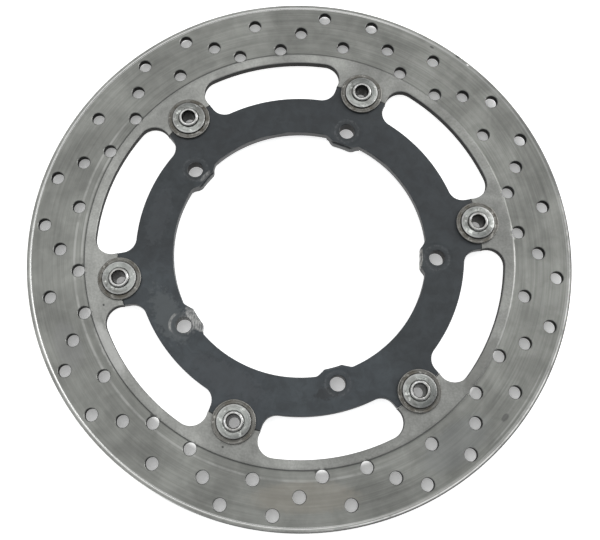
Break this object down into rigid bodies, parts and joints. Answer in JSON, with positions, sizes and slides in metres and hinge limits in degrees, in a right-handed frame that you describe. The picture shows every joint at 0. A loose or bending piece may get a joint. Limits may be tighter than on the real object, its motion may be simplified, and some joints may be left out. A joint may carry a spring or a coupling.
{
  "type": "brake disc rotor",
  "caption": "Motorcycle floating brake disc: drilled steel friction ring carried by turning bobbins on a black bolt-on carrier with a large hub bore.",
  "frame": {"origin": "on the disc's axis, in the plane of the carrier's five hub faces, which is the bottom of the part", "axes": "+Z along the disc's axis, towards the outer face that carries the bobbins' rolled collars; +X to the right and +Y up the picture"},
  "size_m": [0.298, 0.298, 0.0125],
  "materials": {
    "stainless_steel": "turned and worn to fine rings by the pads",
    "black_aluminium": "black anodised, satin, scuffed at the bolt holes",
    "bobbin_steel": "bright turned steel",
    "flat_washer_steel": "plain steel, slightly browned",
    "spring_steel": "polished spring steel"
  },
  "bodies": {
    "carrier": {"hub_carrier": "black_aluminium"},
    "ring": {"rotor_ring": "stainless_steel"},
    "bobbin_1": {"bobbin_1": "bobbin_steel", "flat_washer_1": "flat_washer_steel", "spring_washer_1": "spring_steel"},
    "bobbin_2": {"bobbin_2": "bobbin_steel", "flat_washer_2": "flat_washer_steel", "spring_washer_2": "spring_steel"},
    "bobbin_3": {"bobbin_3": "bobbin_steel", "flat_washer_3": "flat_washer_steel", "spring_washer_3": "spring_steel"},
    "bobbin_4": {"bobbin_4": "bobbin_steel", "flat_washer_4": "flat_washer_steel", "spring_washer_4": "spring_steel"},
    "bobbin_5": {"bobbin_5": "bobbin_steel", "flat_washer_5": "flat_washer_steel", "spring_washer_5": "spring_steel"},
    "bobbin_6": {"bobbin_6": "bobbin_steel", "flat_washer_6": "flat_washer_steel", "spring_washer_6": "spring_steel"}
  },
  "joints": [
    {"name": "ring_float", "type": "slide", "parent": "carrier", "child": "ring", "axis": [0, 0, 1], "range_m": [-0.00025, 0.00025]},
    {"name": "bobbin_1_turn", "type": "hinge", "parent": "carrier", "child": "bobbin_1", "pos_m": [0.02845, 0.09482, 0.0055], "axis": [0, 0, 1], "continuous": true},
    {"name": "bobbin_2_turn", "type": "hinge", "parent": "carrier", "child": "bobbin_2", "pos_m": [-0.0679, 0.07205, 0.0055], "axis": [0, 0, 1], "continuous": true},
    {"name": "bobbin_3_turn", "type": "hinge", "parent": "carrier", "child": "bobbin_3", "pos_m": [-0.09635, -0.02278, 0.0055], "axis": [0, 0, 1], "continuous": true},
    {"name": "bobbin_4_turn", "type": "hinge", "parent": "carrier", "child": "bobbin_4", "pos_m": [-0.02845, -0.09482, 0.0055], "axis": [0, 0, 1], "continuous": true},
    {"name": "bobbin_5_turn", "type": "hinge", "parent": "carrier", "child": "bobbin_5", "pos_m": [0.0679, -0.07205, 0.0055], "axis": [0, 0, 1], "continuous": true},
    {"name": "bobbin_6_turn", "type": "hinge", "parent": "carrier", "child": "bobbin_6", "pos_m": [0.09635, 0.02278, 0.0055], "axis": [0, 0, 1], "continuous": true}
  ]
}
